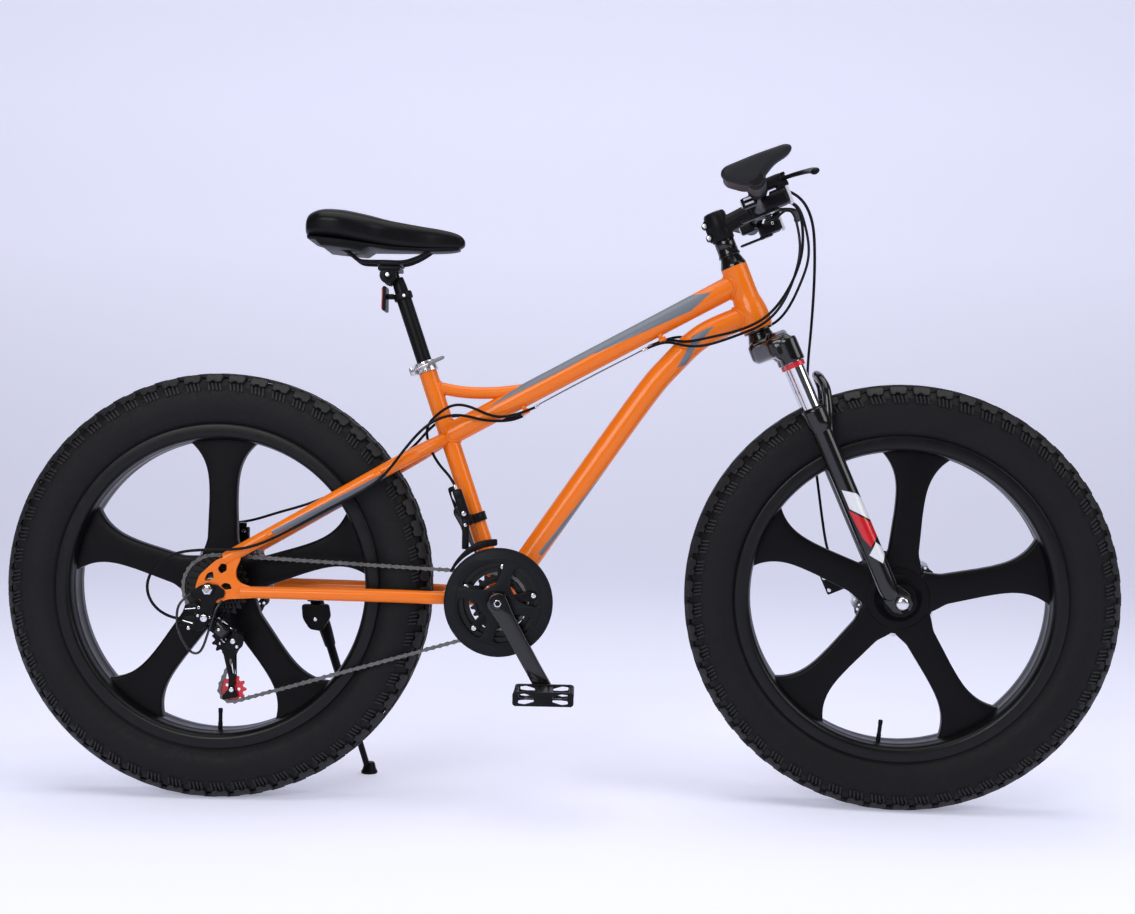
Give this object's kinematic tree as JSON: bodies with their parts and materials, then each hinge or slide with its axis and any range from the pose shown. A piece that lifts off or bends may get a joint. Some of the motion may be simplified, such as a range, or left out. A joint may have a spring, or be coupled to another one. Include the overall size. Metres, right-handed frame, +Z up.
{
  "type": "bicycle",
  "caption": "Fat tire mountain bike with front suspension, disc brakes, one-piece spoked wheels, derailleur gears and a side kickstand.",
  "frame": {"origin": "the point where the rear tyre stands on the ground, in the frame's middle plane", "axes": "+X forward, +Y to the rider's left, +Z up"},
  "size_m": [1.9793, 0.6814, 1.1432],
  "materials": {
    "orange_paint": "gloss paint",
    "black_paint": "gloss paint",
    "black_metal": "satin black finish",
    "wheel_black": "gloss black paint on cast magnesium alloy",
    "rubber": "matt",
    "tyre": "matt, moulded knobs",
    "plastic": "satin",
    "chrome": "polished",
    "steel": "bare",
    "leatherette": "smooth synthetic cover",
    "red_plastic": "gloss"
  },
  "bodies": {
    "frame": {"main_frame": "orange_paint", "bottom_bracket": "steel", "seat_collar": "chrome", "front_derailleur_clamp": "black_metal", "rear_axle": "steel", "derailleur_hanger": "black_metal", "rear_brake_caliper": "black_metal", "kickstand_bracket": "black_metal", "chain": "steel", "rear_shift_cable": "rubber", "front_shift_cable": "rubber", "rear_brake_cable": "rubber"},
    "steering": {"fork_crown": "black_paint", "stanchion_right": "chrome", "stanchion_left": "chrome", "stem": "black_metal", "handlebar": "black_metal", "grip_right": "rubber", "grip_left": "rubber", "hand_unit_right": "plastic", "hand_unit_left": "plastic", "front_brake_cable": "rubber"},
    "fork_lowers": {"fork_lowers": "black_paint", "front_axle": "chrome", "front_brake_caliper": "black_metal"},
    "front_wheel": {"front_wheel": "wheel_black", "front_tyre": "tyre", "front_rotor": "steel"},
    "rear_wheel": {"rear_wheel": "wheel_black", "rear_tyre": "tyre", "rear_rotor": "steel"},
    "freewheel": {"freewheel": "steel"},
    "crank": {"crank_spindle": "steel", "crank_arm_right": "black_paint", "crank_arm_left": "black_paint", "chainrings": "steel", "chain_guard": "plastic"},
    "pedal_right": {"pedal_right": "plastic"},
    "pedal_left": {"pedal_left": "plastic"},
    "brake_lever_right": {"brake_lever_right": "black_metal"},
    "brake_lever_left": {"brake_lever_left": "black_metal"},
    "shift_lever_right": {"shift_lever_right": "plastic"},
    "shift_lever_left": {"shift_lever_left": "plastic"},
    "front_brake_arm": {"front_brake_arm": "steel"},
    "rear_brake_arm": {"rear_brake_arm": "steel"},
    "front_quick_release": {"front_quick_release": "chrome"},
    "derailleur_link": {"derailleur_link": "black_metal"},
    "derailleur_knuckle": {"derailleur_knuckle": "black_metal"},
    "derailleur_cage": {"derailleur_cage": "black_metal"},
    "guide_pulley": {"guide_pulley": "red_plastic"},
    "tension_pulley": {"tension_pulley": "red_plastic"},
    "front_derailleur_cage": {"front_derailleur_cage": "black_metal"},
    "kickstand_leg": {"kickstand_leg": "black_metal"},
    "kickstand_foot": {"kickstand_foot": "black_metal"},
    "seatpost": {"seatpost": "black_metal", "reflector": "red_plastic"},
    "saddle": {"saddle_clamp": "black_metal", "saddle_base": "plastic", "saddle_cover": "leatherette"},
    "seat_quick_release": {"seat_quick_release": "chrome"}
  },
  "joints": [
    {"name": "steer", "type": "hinge", "parent": "frame", "child": "steering", "pos_m": [0.95749, 0, 0.85582], "axis": [-0.3746, 0, 0.9272], "range_deg": [-38.5, 51.5], "deforming": ["rear_shift_cable", "front_shift_cable", "rear_brake_cable"]},
    {"name": "fork_slide", "type": "slide", "parent": "steering", "child": "fork_lowers", "axis": [-0.4024, 0.0034, 0.9155], "range_m": [0, 0.075], "stiffness_N_per_m": 6000, "springref_m": -0.02, "deforming": ["front_brake_cable"]},
    {"name": "front_hub", "type": "hinge", "parent": "fork_lowers", "child": "front_wheel", "pos_m": [1.21434, -0.00686, 0.38072], "axis": [0.105, 0.9936, 0.0424], "continuous": true},
    {"name": "rear_hub", "type": "hinge", "parent": "frame", "child": "rear_wheel", "pos_m": [0, 0, 0.38], "axis": [0, 1, 0], "continuous": true},
    {"name": "freewheel_spin", "type": "hinge", "parent": "frame", "child": "freewheel", "pos_m": [0, 0, 0.38], "axis": [0, 1, 0], "continuous": true, "deforming": ["chain"]},
    {"name": "crank_spin", "type": "hinge", "parent": "frame", "child": "crank", "pos_m": [0.5045, 0, 0.366], "axis": [0, 1, 0], "continuous": true, "deforming": ["chain"]},
    {"name": "pedal_right_spin", "type": "hinge", "parent": "crank", "child": "pedal_right", "pos_m": [0.58847, -0.155, 0.21819], "axis": [0, 1, 0], "continuous": true},
    {"name": "pedal_left_spin", "type": "hinge", "parent": "crank", "child": "pedal_left", "pos_m": [0.42053, 0.155, 0.51381], "axis": [0, 1, 0], "continuous": true},
    {"name": "derailleur_swing", "type": "hinge", "parent": "frame", "child": "derailleur_link", "pos_m": [0.00727, -0.082, 0.31938], "axis": [0.6247, 0, 0.7809], "range_deg": [-35, 0], "deforming": ["chain", "rear_shift_cable"]},
    {"name": "derailleur_level", "type": "hinge", "parent": "derailleur_link", "child": "derailleur_knuckle", "pos_m": [0.03073, -0.082, 0.30062], "axis": [0.6247, 0, 0.7809], "range_deg": [0, 35]},
    {"name": "cage_swing", "type": "hinge", "parent": "derailleur_knuckle", "child": "derailleur_cage", "pos_m": [0.044, -0.082, 0.29], "axis": [0, 1, 0], "range_deg": [-25, 18], "stiffness_Nm_per_rad": 1, "deforming": ["chain"]},
    {"name": "guide_pulley_spin", "type": "hinge", "parent": "derailleur_cage", "child": "guide_pulley", "pos_m": [0.0205, -0.0505, 0.2865], "axis": [0, 1, 0], "continuous": true, "deforming": ["chain"]},
    {"name": "tension_pulley_spin", "type": "hinge", "parent": "derailleur_cage", "child": "tension_pulley", "pos_m": [0.0335, -0.0505, 0.1995], "axis": [0, 1, 0], "continuous": true, "deforming": ["chain"]},
    {"name": "front_derailleur_swing", "type": "hinge", "parent": "frame", "child": "front_derailleur_cage", "pos_m": [0.43917, -0.047, 0.51799], "axis": [1, 0, 0], "range_deg": [-14, 0], "stiffness_Nm_per_rad": 1, "deforming": ["chain", "front_shift_cable"]},
    {"name": "brake_lever_right_pull", "type": "hinge", "parent": "steering", "child": "brake_lever_right", "pos_m": [0.96907, -0.20815, 1.08203], "axis": [-0.3746, 0, 0.9272], "range_deg": [-22, 0], "stiffness_Nm_per_rad": 1},
    {"name": "brake_lever_left_pull", "type": "hinge", "parent": "steering", "child": "brake_lever_left", "pos_m": [1.01022, 0.18133, 1.09865], "axis": [-0.3746, 0, 0.9272], "range_deg": [0, 22], "stiffness_Nm_per_rad": 1},
    {"name": "front_brake_arm_swing", "type": "hinge", "parent": "fork_lowers", "child": "front_brake_arm", "pos_m": [1.10797, 0.07388, 0.41012], "axis": [0.105, 0.9936, 0.0424], "range_deg": [0, 17.6], "deforming": ["front_brake_cable"]},
    {"name": "rear_brake_arm_swing", "type": "hinge", "parent": "frame", "child": "rear_brake_arm", "pos_m": [0.018, 0.0668, 0.4803], "axis": [0, 0, 1], "range_deg": [-17.6, 0], "deforming": ["rear_brake_cable"]},
    {"name": "shift_lever_right_turn", "type": "hinge", "parent": "steering", "child": "shift_lever_right", "pos_m": [0.95129, -0.19635, 1.03828], "axis": [-0.3746, 0, 0.9272], "range_deg": [-25, 25]},
    {"name": "shift_lever_left_turn", "type": "hinge", "parent": "steering", "child": "shift_lever_left", "pos_m": [0.99076, 0.17723, 1.05423], "axis": [-0.3746, 0, 0.9272], "range_deg": [-25, 25]},
    {"name": "front_quick_release_turn", "type": "hinge", "parent": "fork_lowers", "child": "front_quick_release", "pos_m": [1.22366, 0.08137, 0.38448], "axis": [0.105, 0.9936, 0.0424], "continuous": true},
    {"name": "seat_quick_release_turn", "type": "hinge", "parent": "frame", "child": "seat_quick_release", "pos_m": [0.33885, -0.0153, 0.76951], "axis": [-0.3272, 0, 0.9449], "range_deg": [-135, 0]},
    {"name": "seatpost_slide", "type": "slide", "parent": "frame", "child": "seatpost", "axis": [-0.3272, 0, 0.9449], "range_m": [-0.045, 0.11]},
    {"name": "saddle_tilt", "type": "hinge", "parent": "seatpost", "child": "saddle", "pos_m": [0.2929, 0, 0.94038], "axis": [0, 1, 0], "range_deg": [-10, 12]},
    {"name": "kickstand_fold", "type": "hinge", "parent": "frame", "child": "kickstand_leg", "pos_m": [0.15, 0.108, 0.342], "axis": [0.0702, 0.9689, 0.2372], "range_deg": [0, 109]},
    {"name": "kickstand_slide", "type": "slide", "parent": "kickstand_leg", "child": "kickstand_foot", "axis": [0.2564, 0.2123, -0.943], "range_m": [-0.015, 0.03]}
  ],
  "couplings": [
    {"joint": "freewheel_spin", "follows": "crank_spin", "ratio": 0.85714},
    {"joint": "guide_pulley_spin", "follows": "crank_spin", "ratio": -2.1818},
    {"joint": "tension_pulley_spin", "follows": "crank_spin", "ratio": 2.1818},
    {"joint": "derailleur_level", "follows": "derailleur_swing", "ratio": -1},
    {"joint": "front_brake_arm_swing", "follows": "brake_lever_right_pull", "ratio": -0.8},
    {"joint": "rear_brake_arm_swing", "follows": "brake_lever_left_pull", "ratio": -0.8}
  ]
}
